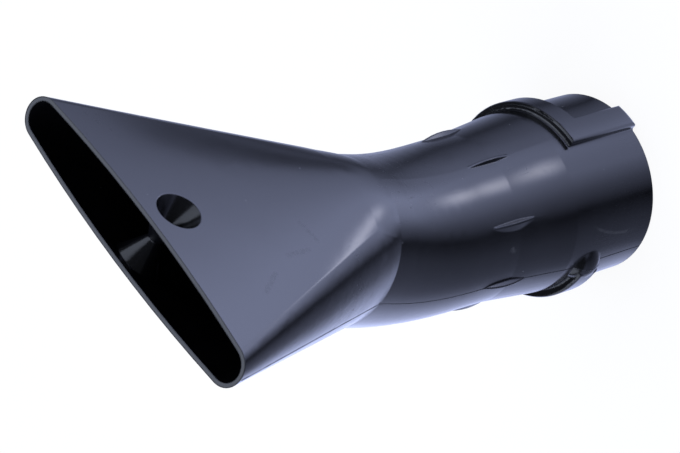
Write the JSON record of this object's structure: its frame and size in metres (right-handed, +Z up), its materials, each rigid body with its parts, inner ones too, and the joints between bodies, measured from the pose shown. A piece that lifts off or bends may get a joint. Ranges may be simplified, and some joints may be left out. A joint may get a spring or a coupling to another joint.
{
  "type": "leaf blower nozzle tube",
  "caption": "Flat fan nozzle for a leaf blower: a round bayonet socket, a gently bent ribbed neck and a wide slot mouth with a welded dimple.",
  "frame": {"origin": "centre of the socket rim, which the nozzle stands on", "axes": "+Z up along the socket's axis towards the fan, +X the way the bend leans, Y across the wide mouth"},
  "size_m": [0.0984, 0.132, 0.2625],
  "materials": {
    "moulding": "satin black blow-moulded plastic"
  },
  "bodies": {
    "root": {"nozzle": "moulding"}
  },
  "joints": []
}
